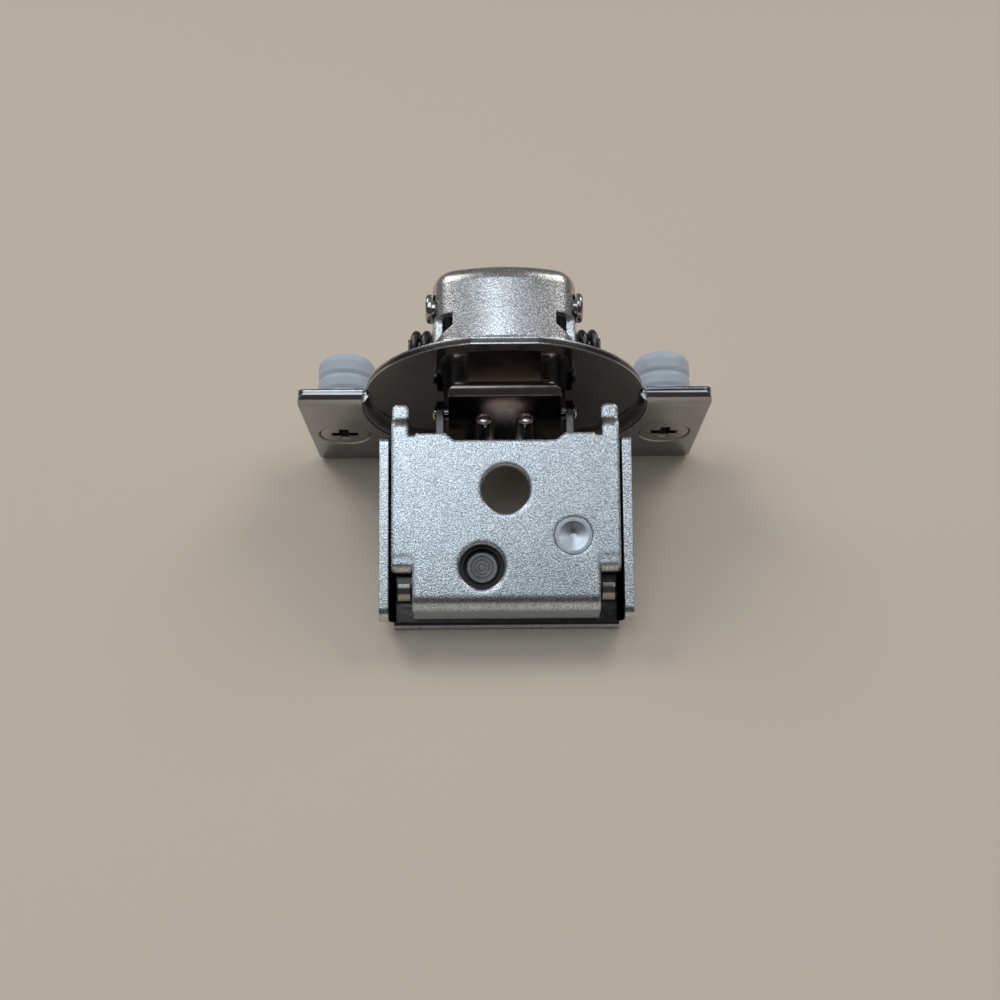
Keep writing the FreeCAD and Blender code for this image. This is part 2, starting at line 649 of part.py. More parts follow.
def cup():
    ear_path = [(-EAR_DROP, 0), (EAR_TOP, 0), (EAR_TOP, -LIP)]
    ears = across_x(strip(ear_path, CUP_SHEET, LIP_BEND), -EAR_HALF, EAR_HALF)
    ears = ears.common(flat([(-EAR_HALF, -EAR_DROP, EAR_CORNER_R), (EAR_HALF, -EAR_DROP, EAR_CORNER_R),
                             (EAR_HALF, EAR_TOP, EAR_CORNER_R), (-EAR_HALF, EAR_TOP, EAR_CORNER_R)],
                            -LIP, 0))
    step_r = FLANGE_R + CREASE / 2
    ears = ears.cut(rod_z(0, FLANGE_L, step_r, flange_back, 0))
    crease_path = [(step_r + CREASE, 0), (step_r, 0), (step_r - CREASE, flange_front),
                   (FLANGE_R / 2, flange_front)]
    section = strip(crease_path[::-1], CUP_SHEET, CREASE_BEND)
    dish = face_of(section)
    dish.rotate(Vector(0, 0, 0), X, 90)
    dish = dish.revolve(Vector(0, 0, 0), Z, 360)
    dish = Part.Solid(dish.Solids[0]) if dish.Solids else Part.Solid(dish)
    dish.translate(Y * FLANGE_L)
    lower = box(-EAR_HALF, EAR_HALF, -EAR_DROP, EAR_TOP - CUP_SHEET, flange_back, 0)
    dish = dish.common(lower)
    disc = rod_z(0, FLANGE_L, FLANGE_R, flange_back, flange_front)
    disc = disc.common(box(-EAR_HALF, EAR_HALF, EAR_TOP - CUP_SHEET - CREASE, CHORD_L, flange_back, 0))
    middle = rod_z(0, FLANGE_L, FLANGE_R / 2 + CREASE, flange_back, flange_front)
    outer = cup_box(0, flange_back + CUP_SHEET / 2, -CUP_DEPTH)
    shell = joined([ears, dish, disc, middle, outer])
    shell = shell.makeFillet(SKIRT_R, edges_where(shell, at_skirt))
    shell = shell.cut(cup_box(CUP_SHEET, CUP_SHEET, -(CUP_DEPTH - CUP_SHEET)))

    window = face_of([(WINDOW_IN, -WINDOW_TOP, 0), (WINDOW_OUT, -WINDOW_TOP, 0),
                      (WINDOW_OUT, -WINDOW_FOOT, 0), (WINDOW_IN, -WINDOW_BEND, 0)]).extrude(Z * 4)
    window.rotate(Vector(0, 0, 0), X, 90)
    window.translate(Y * (CUP_FRONT_L + 1))
    slot = box(CUP_HALF - 1.5, CUP_HALF + 1, SLOT_L - SLOT_SIZE / 2, SLOT_L + SLOT_SIZE / 2,
               -(STUD_F + COIL_R - SLOT_SIZE / 2), -(STUD_F + COIL_R + SLOT_SIZE / 2))
    pivot_hole = rod_x(PIVOT_L, -PIVOT_F, PIVOT_R + RUN, -CUP_HALF, CUP_HALF)
    stud_hole = rod_x(STUD_L, -STUD_F, STUD_R + RUN, -CUP_HALF, CUP_HALF)
    cuts = both_sides(window) + both_sides(slot) + [pivot_hole, stud_hole]
    for x in (-SCREW_SPACING / 2, SCREW_SPACING / 2):
        rim = HEAD_R + HEAD_RING
        cuts.append(cone_z(x, 0, rim, 0, rim - head_slope * CUP_SHEET, -CUP_SHEET))
        cuts.append(rod_z(x, 0, DOWEL_R + RUN, -CUP_DEPTH, -CUP_SHEET))
    return shell.cut(cuts)


head_slope = (HEAD_R - SHANK_R) / HEAD_CONE


def cup_pin():
    reach = CUP_HALF + RUN
    shank = rod_x(PIVOT_L, -PIVOT_F, PIVOT_R, -reach, reach)
    head = rod_x(PIVOT_L, -PIVOT_F, PIVOT_HEAD_R, reach, reach + PIVOT_HEAD)
    rim = edges_where(head, lambda e: isinstance(e.Curve, Part.Circle) and e.BoundBox.XMin > reach + 0.1)
    head = head.makeFillet(PIVOT_HEAD * 0.6, rim)
    return joined([shank] + both_sides(head))


def spring_stud():
    inner = CUP_HALF - CUP_SHEET - STUD_INSIDE
    button_end = inner + STUD_BUTTON
    stud = rod_x(STUD_L, -STUD_F, STUD_R, inner, STUD_END)
    button = rod_x(STUD_L, -STUD_F, STUD_R + STUD_BUTTON, button_end - STUD_BUTTON_LENGTH, button_end)
    return joined([stud, button])


def pivot_spacer():
    inner = NECK_NARROW + RUN
    outer = inner + SPACER_LENGTH
    ring = rod_x(PIVOT_L, -PIVOT_F, SPACER_R, inner, outer)
    return ring.cut(rod_x(PIVOT_L, -PIVOT_F, PIVOT_R + RUN, inner, outer))


def spring_coil():
    """The right-hand coil; it starts on the side away from the flange and ends next to it."""
    helix = Part.makeHelix(COIL_PITCH, COIL_PITCH * COIL_TURNS, COIL_R)
    profile = Part.Wire(Part.makeCircle(WIRE / 2, Vector(COIL_R, 0, 0), Y))
    coil = Part.Wire(helix.Edges).makePipeShell([profile], True, True)
    coil.rotate(Vector(0, 0, 0), Y, 90)
    coil.translate(Vector(COIL_START, STUD_L, -STUD_F))
    return coil


def torsion_spring():
    """The right-hand spring: its coil, a foot along the flange and a leg that turns into the cup."""
    wire_r = WIRE / 2
    start = Vector(COIL_START, STUD_L, -STUD_F - COIL_R)
    end = Vector(COIL_START + COIL_PITCH * COIL_TURNS, STUD_L, -STUD_F + COIL_R)
    foot = rod(end, end - Y * SPRING_FOOT, wire_r)
    turn = Vector(COIL_START, SLOT_L, start.z)
    leg = rod(start, turn, wire_r)
    reach = rod(turn, turn - X * (COIL_START - CUP_HALF + CUP_SHEET + SPRING_REACH), wire_r)
    elbow = Part.makeSphere(wire_r, turn)
    return joined([spring_coil(), foot, leg, elbow, reach])


def dowel(x):
    """A nylon dowel with a rounded nose and shallow rings, bored for its screw."""
    top = -CUP_SHEET
    end = top - DOWEL_LENGTH
    body = rod_z(x, 0, DOWEL_R, end, top)
    body = body.makeFillet(DOWEL_NOSE, edges_where(body, ring_edge(DOWEL_R, end)))
    cuts = []
    f = RIDGE_FIRST
    while f > RIDGE_PITCH:
        ring = rod_z(x, 0, DOWEL_R + AIR, -f - RIDGE_GROOVE / 2, -f + RIDGE_GROOVE / 2)
        waist = [cone_z(x, 0, DOWEL_R, -f + side * RIDGE_GROOVE / 2, DOWEL_R - RIDGE_DEPTH, -f)
                 for side in (-1, 1)]
        cuts.append(ring.cut(waist))
        f -= RIDGE_PITCH
    bore = rod_z(x, 0, SHANK_R + RUN, -(SHANK_END + AIR), top)
    seat = cone_z(x, 0, HEAD_R + RUN - head_slope * CUP_SHEET, top, SHANK_R + RUN, -(HEAD_CONE + RUN))
    return body.cut(cuts + [bore, seat])


def dowel_screw(x):
    head = cone_z(x, 0, HEAD_R - head_slope * HEAD_SUNK, -HEAD_SUNK, SHANK_R, -HEAD_CONE)
    point_start = SHANK_POINT - SHANK_END
    shank = rod_z(x, 0, SHANK_R, point_start, -HEAD_CONE)
    point = cone_z(x, 0, SHANK_R, point_start, SHANK_TIP_R, -SHANK_END)
    recess = cross_recess(x, 0, -HEAD_SUNK, -1, CROSS_LENGTH, CROSS_WIDTH, CROSS_DEPTH)
    return joined([head, shank, point]).cut(recess)


def in_plate_frame(shape):
    """Sets a cup-side shape on the plate frame, with the pivots in line and the cup over-closed."""
    placed = shape.copy()
    placed.translate(Vector(0, -PIVOT_L, PIVOT_F))
    placed.rotate(Vector(0, 0, 0), X, 90 - OVER_CLOSE)
    placed.translate(Vector(0, PIVOT_U, PIVOT_N))
    return placed


def resting_tilt():
    """The angle that brings the arm's near edge and the ears' lower front edges level."""
    near = Vector(0, -(LIP_U - ARM_NEAR), -ARM_DEPTH)
    ear = in_plate_frame(Part.Vertex(Vector(0, -EAR_DROP, 0))).Point
    return math.degrees(math.atan2(near.z - ear.z, ear.y - near.y))


arm_side = {
    "mounting_plate": mounting_plate(),
    "depth_cam": depth_cam(),
    "carriage": carriage(),
    "side_screw": side_screw(),
    "arm_channel": arm_channel(),
    "pivot_bracket": pivot_bracket(),
    "bracket_rivets": bracket_rivets(),
    "goose_neck": goose_neck(),
    "front_arm_pin": arm_pin(*FRONT_PIN),
    "rear_arm_pin": arm_pin(*REAR_PIN),
}
right_stud, left_stud = both_sides(spring_stud())
right_spacer, left_spacer = both_sides(pivot_spacer())
right_spring, left_spring = both_sides(torsion_spring())
cup_side = {
    "cup": cup(),
    "cup_pin": cup_pin(),
    "spring_stud_right": right_stud,
    "spring_stud_left": left_stud,
    "pivot_spacer_right": right_spacer,
    "pivot_spacer_left": left_spacer,
    "torsion_spring_right": right_spring,
    "torsion_spring_left": left_spring,
    "dowel_right": dowel(SCREW_SPACING / 2),
    "dowel_left": dowel(-SCREW_SPACING / 2),
    "dowel_screw_right": dowel_screw(SCREW_SPACING / 2),
    "dowel_screw_left": dowel_screw(-SCREW_SPACING / 2),
}

pieces = dict(arm_side)
for name, shape in cup_side.items():
    pieces[name] = in_plate_frame(shape)
tilt = resting_tilt()
for shape in pieces.values():
    shape.rotate(Vector(0, 0, 0), X, tilt)
whole = Part.makeCompound(list(pieces.values())).optimalBoundingBox(False, False)
shift = Vector(0, -(whole.YMin + whole.YMax) / 2, -whole.ZMin)
os.makedirs("parts", exist_ok=True)
for name, shape in pieces.items():
    shape.translate(shift)
    solids = len(shape.Solids)
    print(name, "solids", solids, "valid", shape.isValid(), "volume", round(shape.Volume, 2))
    shape.exportStep("parts/" + name + ".step")

pivot = Vector(0, PIVOT_U, PIVOT_N)
stud = in_plate_frame(Part.Vertex(Vector(0, STUD_L, -STUD_F))).Point
for label, point in (("pivot", pivot), ("stud", stud), ("origin", Vector(0, 0, 0)),
                     ("cam", Vector(CAM_X, CAM_U, 0)), ("side", Vector(SIDE_X, SIDE_U, 0))):
    placed = Part.Vertex(point)
    placed.rotate(Vector(0, 0, 0), X, tilt)
    placed.translate(shift)
    print(label, placed.Point)
print("tilt", tilt, "size", whole.XLength, whole.YLength, whole.ZLength)
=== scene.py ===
import json
import math

import bpy
from mathutils import Matrix, Vector


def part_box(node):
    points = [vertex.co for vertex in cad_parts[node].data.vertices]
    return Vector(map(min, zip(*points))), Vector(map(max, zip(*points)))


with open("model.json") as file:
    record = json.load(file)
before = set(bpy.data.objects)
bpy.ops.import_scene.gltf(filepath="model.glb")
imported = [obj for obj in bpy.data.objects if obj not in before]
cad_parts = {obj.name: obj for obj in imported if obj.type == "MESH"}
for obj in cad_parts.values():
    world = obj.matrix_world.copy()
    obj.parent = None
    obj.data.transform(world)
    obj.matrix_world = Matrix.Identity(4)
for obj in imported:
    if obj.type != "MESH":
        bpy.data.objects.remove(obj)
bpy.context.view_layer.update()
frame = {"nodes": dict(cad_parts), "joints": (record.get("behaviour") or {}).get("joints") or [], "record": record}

MM = 0.001
nodes = frame["nodes"]
joints = {joint["name"]: joint for joint in frame["joints"]}
mounts = {mount["name"]: mount for mount in frame["record"]["mounts"]}

# Directions of the mounting plate: along it towards the cup, and out of its contact face
PLATE_ALONG = Vector(joints["depth_slide"]["axis"])
PLATE_OUT = Vector(joints["side_slide"]["axis"])
ACROSS = Vector((1, 0, 0))

# A point of the contact face, and the middle of the frame screw's hole
face_point = Vector(mounts["frame_face"]["pos_m"])
hole_point = Vector(mounts["frame_screw_hole"]["pos_m"])


# Shader helpers

def new_material(name):
    material = bpy.data.materials.new(name)
    material.use_nodes = True
    tree = material.node_tree
    shader = tree.nodes["Principled BSDF"]
    return material, tree, shader


def new_metal(name):
    material, tree, shader = new_material(name)
    shader.inputs["Metallic"].default_value = 1.0
    return material, tree, shader


def add(tree, kind, **inputs):
    """A new node. Each value given is set on the node itself, or else on its input of that name."""
    node = tree.nodes.new(kind)
    for key, value in inputs.items():
        if hasattr(node, key):
            setattr(node, key, value)
        else:
            node.inputs[key.replace("_", " ")].default_value = value
    return node


def combined(tree, kind, operation, first, second):
    node = add(tree, kind, operation=operation)
    tree.links.new(first, node.inputs[0])
    tree.links.new(second, node.inputs[1])
    return node.outputs[0]


def larger(tree, first, second):
    return combined(tree, "ShaderNodeMath", "MAXIMUM", first, second)


def product(tree, first, second):
    return combined(tree, "ShaderNodeMath", "MULTIPLY", first, second)


def tinted(tree, colour, tint):
    return combined(tree, "ShaderNodeVectorMath", "MULTIPLY", colour, tint)


def scaled(tree, colour, amount):
    node = add(tree, "ShaderNodeVectorMath", operation="SCALE")
    tree.links.new(colour, node.inputs[0])
    tree.links.new(amount, node.inputs["Scale"])
    return node.outputs[0]


def mixed(tree, factor, first, second):
    """The first colour where the factor is 0, and the second where it is 1."""
    node = add(tree, "ShaderNodeMix", data_type="RGBA")
    tree.links.new(factor, node.inputs["Factor"])
    tree.links.new(first, node.inputs[6])
    tree.links.new(second, node.inputs[7])
    return node.outputs[2]


def object_space(tree):
    return tree.nodes.new("ShaderNodeTexCoord").outputs["Object"]


def noise(tree, size_mm, detail=2.0, roughness=0.5):
    """Noise whose blotches are about size_mm across; gives its 0 to 1 value."""
    node = add(tree, "ShaderNodeTexNoise", Scale=1 / (size_mm * MM), Detail=detail, Roughness=roughness)
    tree.links.new(object_space(tree), node.inputs["Vector"])
    return node.outputs["Fac"]


def ramp(tree, value, stops):
    """Maps a value through (position, colour) stops."""
    node = tree.nodes.new("ShaderNodeValToRGB")
    elements = node.color_ramp.elements
    while len(elements) < len(stops):
        elements.new(0.5)
    for element, (position, colour) in zip(elements, stops):
        element.position = position
        element.color = (*colour, 1)
    tree.links.new(value, node.inputs["Fac"])
    return node.outputs["Color"]


def two_tones(tree, value, tones, start=0, end=1):
    """The first tone up to the start, and the second from the end on."""
    first, second = tones
    return ramp(tree, value, ((start, first), (end, second)))


def spread(tree, value, low, high, from_low=0.3, from_high=0.7):
    """Maps a range of the value to low and high. The range not given is what a noise mostly fills."""
    node = add(tree, "ShaderNodeMapRange", From_Min=from_low, From_Max=from_high, To_Min=low, To_Max=high)
    tree.links.new(value, node.inputs["Value"])
    return node.outputs["Result"]


def rising(tree, value, start, end):
    """0 up to the start, and 1 from the end on."""
    return spread(tree, value, 0, 1, start, end)


def falling(tree, value, start, end):
    """1 up to the start, and 0 from the end on."""
    return spread(tree, value, 1, 0, start, end)


def bump(tree, height, distance_mm, normal):
    node = add(tree, "ShaderNodeBump", Strength=1.0, Distance=distance_mm * MM)
    tree.links.new(height, node.inputs["Height"])
    tree.links.new(normal, node.inputs["Normal"])
    return node.outputs["Normal"]


def soft_edges(tree, radius_mm):
    """Rounds the look of the sheet's sheared edges."""
    node = add(tree, "ShaderNodeBevel", samples=6, Radius=radius_mm * MM)
    return node.outputs["Normal"]


def distance_along(tree, origin, axis):
    """How far a point lies from the origin along an axis, in millimetres, as the piece was at rest."""
    offset = add(tree, "ShaderNodeVectorMath", operation="SUBTRACT")
    tree.links.new(object_space(tree), offset.inputs[0])
    offset.inputs[1].default_value = origin
    along = add(tree, "ShaderNodeVectorMath", operation="DOT_PRODUCT")
    tree.links.new(offset.outputs[0], along.inputs[0])
    along.inputs[1].default_value = Vector(axis) / MM
    return along.outputs["Value"]


def past_hole(tree):
    """Millimetres up the plate from the frame screw's hole."""
    return distance_along(tree, hole_point, PLATE_ALONG)


def out_of_plate(tree):
    """Millimetres out of the plate's contact face, so all that lies behind it is below zero."""
    return distance_along(tree, face_point, PLATE_OUT)


# Materials. Lengths are in millimetres. A pair of them is where a mask starts and stops changing.

STEEL_CLOUDS = 5.0
SHEET_EDGE = 0.15
FINE_EDGE = 0.12

SATIN_CLOUDS = 4.0
SATIN_GRAIN = 0.165
SATIN_DEPTH = 0.018
SATIN_ROUGHNESS = 0.26
SPECKLE = (0.58, 1.42)
SPECKLE_RANGE = (0.38, 0.62)
SMOOTH_ROUGHNESS = 0.10
SMOOTH_DEPTH_SHARE = 0.08

# Depths into the cup are measured from its pin's middle. The flange's faces are named by their
# place behind the ears' front.
PIVOT_DEPTH = 8.4
FLANGE_FRONT = 1.5 - PIVOT_DEPTH
FLANGE_BACK = 2.5 - PIVOT_DEPTH
BEHIND_FRONT = (FLANGE_FRONT + 0.02, FLANGE_FRONT + 0.2)
FLANGE_EDGE = (FLANGE_FRONT - 0.5, FLANGE_BACK)
CUP_TONES = ((0.58, 0.575, 0.575), (0.66, 0.67, 0.69))
# The ears and the flange's front are painted down to this share of the tone: painted shade
CUP_SMOOTH_PAINTED_SHADE = 0.69

# Tints through the flange, from 0.5 mm in front of it to its back: painted shade on the front face, then
# the sheared edge, whose torn middle band is painted dark as painted shade
PLAIN = (1, 1, 1)
FLANGE_PAINTED_SHADE = (0.44, 0.41, 0.39)
TORN_AND_PAINTED_SHADE_FRONT = (0.12, 0.12, 0.12)
TORN_AND_PAINTED_SHADE_BACK = (0.16, 0.15, 0.14)
FLANGE_PAINTED_TINTS = ((0.1, PLAIN), (0.3, FLANGE_PAINTED_SHADE), (0.35, FLANGE_PAINTED_SHADE), (0.38, PLAIN),
                (0.42, PLAIN), (0.5, TORN_AND_PAINTED_SHADE_FRONT), (0.8, TORN_AND_PAINTED_SHADE_BACK), (0.9, PLAIN))

# Past these, below the floor of the channel or beside its room, the sheet's outer side begins
ARM_BELOW = (-6.4, -6.3)
ARM_BESIDE = (14.55, 14.65)
ARM_TONES = ((0.58, 0.60, 0.62), (0.64, 0.67, 0.70))
# Between its walls the sheet is painted down to this share of its tone: painted shade
ARM_INSIDE_PAINTED_SHADE = 0.2

# The plate's face lies in front of these, and its turned-down ends behind
PLATE_FACE = (-1.5, -1.1)
PLATE_TONES = ((0.58, 0.62, 0.65), (0.63, 0.67, 0.70))
# The turned-down ends are painted down to this share of the tone: painted shade
PLATE_ENDS_PAINTED_SHADE = 0.9
PLATE_EDGE = 0.7

# The bracket's posts lie short of the hole and above its base; the rest is painted near black: painted shade
POST_END = (-10, -6)
POST_FOOT = (-5.0, -4.4)
BRACKET_PAINTED_SHADE_TONES = ((0.09, 0.085, 0.08), (0.40, 0.39, 0.38))

# The goose neck turns from pale to brown here, past the hole; the brown is painted shade and painted reflection
NECK_START = (9.9, 10.4)
NECK_PAINTED_SHADE_TONES = ((0.66, 0.64, 0.63), (0.38, 0.32, 0.30))
NECK_SHADE = (0.85, 1.0)

# A screw's recess is painted dark here, in front of its dowel's mount: painted shade
RECESS = (-5.1, -4.85)
SCREW_PAINTED_SHADE_TONES = ((0.50, 0.48, 0.46), (0.03, 0.028, 0.026))

NYLON_TONES = ((0.56, 0.63, 0.71), (0.63, 0.70, 0.78))
NYLON_CLOUDS = 3.0
NYLON_GRAIN = 0.4
NYLON_DEPTH = 0.01
NYLON_ROUGHNESS = 0.42
NYLON_SCATTER_SHARE = 0.35
NYLON_SCATTER_M = (0.0012, 0.0014, 0.0018)


def plated(name, colour, roughness, grain_mm, grain_depth, stain=0.0):
    """Plated or plain steel: an orange-peel grain, blotchy gloss and faint stains."""
    material, tree, shader = new_metal(name)
    stained = tuple(channel * (1 - stain) for channel in colour)
    clouds = noise(tree, STEEL_CLOUDS, detail=3.0)
    tree.links.new(two_tones(tree, clouds, (stained, colour), 0.3, 0.6), shader.inputs["Base Color"])
    patches = noise(tree, grain_mm * 2.2, detail=3.0)
    tree.links.new(spread(tree, patches, roughness * 0.8, roughness * 1.25), shader.inputs["Roughness"])
    peel = noise(tree, grain_mm, detail=2.0, roughness=0.6)
    tree.links.new(bump(tree, peel, grain_depth, soft_edges(tree, FINE_EDGE)), shader.inputs["Normal"])
    return material


def part_satin(name, satin_mask, tones, smooth_painted_shade_share, edge_mm=SHEET_EDGE, tint=None):
    """Nickel that is grained satin where the mask is 1, and smooth where it is 0.
    The smooth side is painted down to a share of the tone's brightness: painted shade."""
    material, tree, shader = new_metal(name)
    satin = satin_mask(tree)
    tone = two_tones(tree, noise(tree, SATIN_CLOUDS, detail=4.0), tones, 0.35, 0.6)
    smooth = scaled(tree, tone, spread(tree, satin, smooth_painted_shade_share, 1.0, 0, 1))
    grains = noise(tree, SATIN_GRAIN, detail=2.0, roughness=0.6)
    speckled = scaled(tree, tone, spread(tree, grains, *SPECKLE, *SPECKLE_RANGE))
    colour = mixed(tree, satin, smooth, speckled)
    if tint is not None:
        colour = tinted(tree, colour, tint(tree))
    tree.links.new(colour, shader.inputs["Base Color"])
    gloss = spread(tree, satin, SMOOTH_ROUGHNESS, SATIN_ROUGHNESS, 0, 1)
    tree.links.new(gloss, shader.inputs["Roughness"])
    peel = noise(tree, SATIN_GRAIN, detail=1.0)
    height = product(tree, peel, spread(tree, satin, SMOOTH_DEPTH_SHARE, 1.0, 0, 1))
    tree.links.new(bump(tree, height, SATIN_DEPTH, soft_edges(tree, edge_mm)), shader.inputs["Normal"])
    return material


def pressed_cup():
    """The cup: satin on its drawn box and the flange's edge, smooth and painted darker on the ears and the
    flange's front, as painted shade."""
    pin_low, pin_high = (Vector(corner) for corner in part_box("cup_pin"))
    pivot = (pin_low + pin_high) / 2

    def depth(tree):
        return distance_along(tree, pivot, mounts["dowel_right"]["axis"])

    def behind_front(tree):
        return rising(tree, depth(tree), *BEHIND_FRONT)

    # Painted shade on the flange's front face and on the torn band of its edge
    def flange_painted_shade(tree):
        return ramp(tree, rising(tree, depth(tree), *FLANGE_EDGE), FLANGE_PAINTED_TINTS)

    return part_satin("pressed_cup", behind_front, CUP_TONES, CUP_SMOOTH_PAINTED_SHADE, tint=flange_painted_shade)


def arm_sheet():
    """The channel: satin outside and along its edges; between its walls smooth and painted dark, as painted shade.
    """
    def outside(tree):
        across = add(tree, "ShaderNodeMath", operation="ABSOLUTE")
        tree.links.new(distance_along(tree, (0, 0, 0), ACROSS), across.inputs[0])
        below = falling(tree, out_of_plate(tree), *ARM_BELOW)
        beside = rising(tree, across.outputs[0], *ARM_BESIDE)
        return larger(tree, below, beside)

    return part_satin("arm_sheet", outside, ARM_TONES, ARM_INSIDE_PAINTED_SHADE)


def plate_sheet():
    """The mounting plate: satin on its face, smooth and painted a little darker, as painted shade, on the ends
    that are turned down.
    """
    def face(tree):
        return rising(tree, out_of_plate(tree), *PLATE_FACE)

    return part_satin("plate_sheet", face, PLATE_TONES, PLATE_ENDS_PAINTED_SHADE, PLATE_EDGE)


def worked_metal(name, colour, gloss, gloss_mm, peel_mm, peel_depth, edge_mm):
    """Bright metal. The colour is a function of the tree, and the gloss its least and most roughness."""
    material, tree, shader = new_metal(name)
    tree.links.new(colour(tree), shader.inputs["Base Color"])
    tree.links.new(spread(tree, noise(tree, gloss_mm), *gloss), shader.inputs["Roughness"])
    peel = bump(tree, noise(tree, peel_mm), peel_depth, soft_edges(tree, edge_mm))
    tree.links.new(peel, shader.inputs["Normal"])
    return material


def inner_bracket():
    """The bracket: paler on its posts near the plate's end, and painted near black deep inside the arm, as painted
    shade.
    """
    def colour(tree):
        near_end = falling(tree, past_hole(tree), *POST_END)
        above_base = rising(tree, out_of_plate(tree), *POST_FOOT)
        return two_tones(tree, product(tree, near_end, above_base), BRACKET_PAINTED_SHADE_TONES)

    return worked_metal("inner_bracket", colour, gloss=(0.12, 0.22), gloss_mm=0.8,
                        peel_mm=0.6, peel_depth=0.008, edge_mm=0.2)


def link_sheet():
    """The goose neck: bright nickel painted brownish and darker, as painted shade and painted reflection; paler on
    its ribs and the end inside the arm.
    """
    def colour(tree):
        tone = two_tones(tree, rising(tree, past_hole(tree), *NECK_START), NECK_PAINTED_SHADE_TONES)
        return scaled(tree, tone, spread(tree, noise(tree, STEEL_CLOUDS), *NECK_SHADE))

    return worked_metal("link_sheet", colour, gloss=(0.12, 0.19), gloss_mm=2.0,
                        peel_mm=0.9, peel_depth=0.006, edge_mm=FINE_EDGE)


def driven_screw(side):
    """A plated dowel screw whose recess is painted near black: painted shade."""
    def colour(tree):
        dowel = mounts["dowel_" + side]
        depth = distance_along(tree, dowel["pos_m"], dowel["axis"])
        return two_tones(tree, rising(tree, depth, *RECESS), SCREW_PAINTED_SHADE_TONES)

    return worked_metal("screw_" + side, colour, gloss=(0.14, 0.26), gloss_mm=0.5,
                        peel_mm=0.3, peel_depth=0.008, edge_mm=FINE_EDGE)


def nylon():
    """The dowels and spacers: blue-grey, slightly cloudy and a little see-through."""
    material, tree, shader = new_material("nylon")
    tone = two_tones(tree, noise(tree, NYLON_CLOUDS), NYLON_TONES, 0.3, 0.7)
    tree.links.new(tone, shader.inputs["Base Color"])
    shader.inputs["Roughness"].default_value = NYLON_ROUGHNESS
    shader.inputs["Subsurface Weight"].default_value = NYLON_SCATTER_SHARE
    shader.inputs["Subsurface Radius"].default_value = NYLON_SCATTER_M
    shader.inputs["Subsurface Scale"].default_value = 1.0
    grain = bump(tree, noise(tree, NYLON_GRAIN), NYLON_DEPTH, soft_edges(tree, SHEET_EDGE))
    tree.links.new(grain, shader.inputs["Normal"])
    return material


# The pieces that have a finish of their own, and the finish of each material slot for the others
own_finish = {
    "cup": pressed_cup(),
    "arm_channel": arm_sheet(),
    "mounting_plate": plate_sheet(),
    "goose_neck": link_sheet(),
    "pivot_bracket": inner_bracket(),
    "dowel_screw_left": driven_screw("left"),
    "dowel_screw_right": driven_screw("right"),
    # The carriage's steel is painted near black: painted shade inside the arm
    "carriage": plated("shadowed_steel", (0.05, 0.05, 0.05), roughness=0.4, grain_mm=0.4,
                       grain_depth=0.01, stain=0.3),
}
finishes = {
    "bright_nickel": plated("bright_nickel", (0.52, 0.50, 0.485), roughness=0.09, grain_mm=0.9,
                            grain_depth=0.006, stain=0.2),
    "turned_nickel": plated("turned_nickel", (0.52, 0.56, 0.60), roughness=0.28, grain_mm=0.6,
                            grain_depth=0.01),
    "dark_steel": plated("dark_steel", (0.22, 0.225, 0.23), roughness=0.3, grain_mm=0.3,
                         grain_depth=0.01, stain=0.3),
    "spring_steel": plated("spring_steel", (0.13, 0.13, 0.13), roughness=0.28, grain_mm=0.5,
                           grain_depth=0.005, stain=0.3),
    "nylon": nylon(),
}

SMOOTH_ANGLE = math.radians(32)
for part in frame["record"]["subparts"]:
    piece = nodes[part["node"]]
    piece.data.set_sharp_from_angle(angle=SMOOTH_ANGLE)
    for slot in piece.material_slots:
        slot.link = "OBJECT"
        slot.material = own_finish.get(part["node"]) or finishes[part["material_slot"]]


# Floor, lamps and sky. Lengths are in metres.

FLOOR_SIZE = 1.6
FLOOR_COLOUR = (0.79, 0.69, 0.58)
FLOOR_ROUGHNESS = 0.8

# The sky turns from its front to its back tone between these values of the direction's Y
SKY_TURN = (-0.8, 0.5)
SKY_TONES = ((0.065, 0.063, 0.061), (0.16, 0.157, 0.154))

# What the lamps point at: the hinge's middle, or the floor under it
HINGE = (0, 0, 0.02)
GROUND = (0, 0, 0)


def floor():
    bpy.ops.mesh.primitive_plane_add(size=FLOOR_SIZE, location=(0, 0, 0))
    plane = bpy.context.object
    plane.name = "floor"
    material, _, shader = new_material("floor")
    shader.inputs["Base Color"].default_value = (*FLOOR_COLOUR, 1)
    shader.inputs["Roughness"].default_value = FLOOR_ROUGHNESS
    plane.data.materials.append(material)


def softbox(name, place, target, width, length, radiance, colour):
    """A flat rectangular lamp of a given brightness, turned to its target."""
    lamp = bpy.data.lights.new(name, "AREA")
    lamp.shape = "RECTANGLE"
    lamp.size = width
    lamp.size_y = length
    lamp.energy = radiance * math.pi * width * length
    lamp.color = colour
    holder = bpy.data.objects.new(name, lamp)
    holder.location = place
    holder.rotation_euler = (Vector(target) - Vector(place)).to_track_quat("-Z", "Y").to_euler()
    bpy.context.scene.collection.objects.link(holder)


def sky():
    """A dim room, darkest low in front of the hinge."""
    world = bpy.data.worlds.new("room")
    world.use_nodes = True
    tree = world.node_tree
    direction = tree.nodes.new("ShaderNodeTexCoord").outputs["Generated"]
    split = tree.nodes.new("ShaderNodeSeparateXYZ")
    tree.links.new(direction, split.inputs[0])
    tone = two_tones(tree, rising(tree, split.outputs["Y"], *SKY_TURN), SKY_TONES)
    tree.links.new(tone, tree.nodes["Background"].inputs["Color"])
    bpy.context.scene.world = world


floor()
sky()

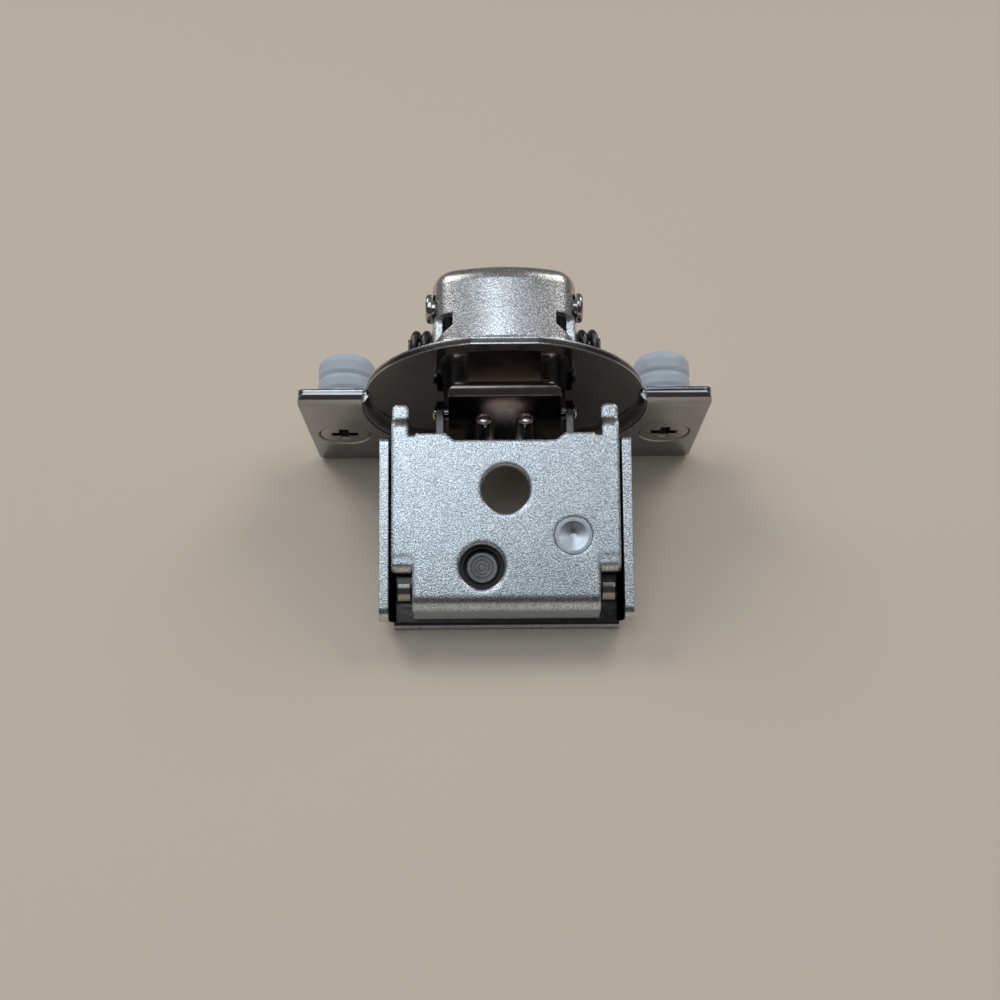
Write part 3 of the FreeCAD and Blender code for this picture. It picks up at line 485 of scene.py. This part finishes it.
# Each lamp's name, place, target, width, length, brightness and colour
softbox("ceiling_left", (-0.07, -0.20, 0.6), HINGE, 0.24, 0.44, 1.64, (0.88, 0.99, 1.07))
softbox("ceiling_far_left", (-0.32, -0.22, 0.6), HINGE, 0.24, 0.40, 0.85, (0.90, 0.98, 1.05))
softbox("ceiling_right", (0.21, -0.36, 0.6), HINGE, 0.24, 0.22, 1.15, (0.92, 0.98, 1.05))
softbox("strip_right", (0.25, -0.12, 0.6), HINGE, 0.09, 0.24, 1.2, (0.92, 0.98, 1.05))
softbox("side_left", (-0.38, 0.27, 0.5), GROUND, 0.34, 0.34, 2.8, (1.0, 0.98, 0.95))
softbox("side_right", (0.38, 0.27, 0.5), GROUND, 0.34, 0.34, 2.5, (1.0, 0.97, 0.94))


# Camera at the photograph's angle. It aims at a place on the middle line of the plate's contact face.
# The distances across, up and ahead to that place are in the camera's own frame, in millimetres.

FOCAL_PIXELS = 1226.6
FRAME_PIXELS = 1000.0
SENSOR = 36.0
CLIP_START_M = 0.01
HOLE_FROM_END = 16.4
AIM_FROM_END = 23.1
AIM_ACROSS = 0.71
AIM_UP = 7.99
AIM_AHEAD = 152.92
PLATE_LEAN = math.radians(6.96)
ROLL = math.radians(-0.45)


def on_plate(from_end):
    """The place on the contact face's middle line that is so far from the plate's near end."""
    level = (face_point - hole_point).dot(PLATE_OUT)
    near_end = hole_point + PLATE_OUT * level - PLATE_ALONG * (HOLE_FROM_END * MM)
    return near_end + PLATE_ALONG * (from_end * MM)


def camera():
    up = PLATE_ALONG * math.cos(PLATE_LEAN) + PLATE_OUT * math.sin(PLATE_LEAN)
    ahead = PLATE_ALONG * math.sin(PLATE_LEAN) - PLATE_OUT * math.cos(PLATE_LEAN)
    place = on_plate(AIM_FROM_END) - MM * (ACROSS * AIM_ACROSS + up * AIM_UP + ahead * AIM_AHEAD)
    right = ACROSS * math.cos(ROLL) + up * math.sin(ROLL)
    top = up * math.cos(ROLL) - ACROSS * math.sin(ROLL)
    data = bpy.data.cameras.new("camera")
    data.sensor_width = SENSOR
    data.lens = FOCAL_PIXELS / FRAME_PIXELS * SENSOR
    data.clip_start = CLIP_START_M
    holder = bpy.data.objects.new("camera", data)
    turned = Matrix((right, top, -ahead)).transposed().to_4x4()
    holder.matrix_world = Matrix.Translation(place) @ turned
    bpy.context.scene.collection.objects.link(holder)
    bpy.context.scene.camera = holder


camera()
bpy.context.scene.view_settings.view_transform = "Standard"
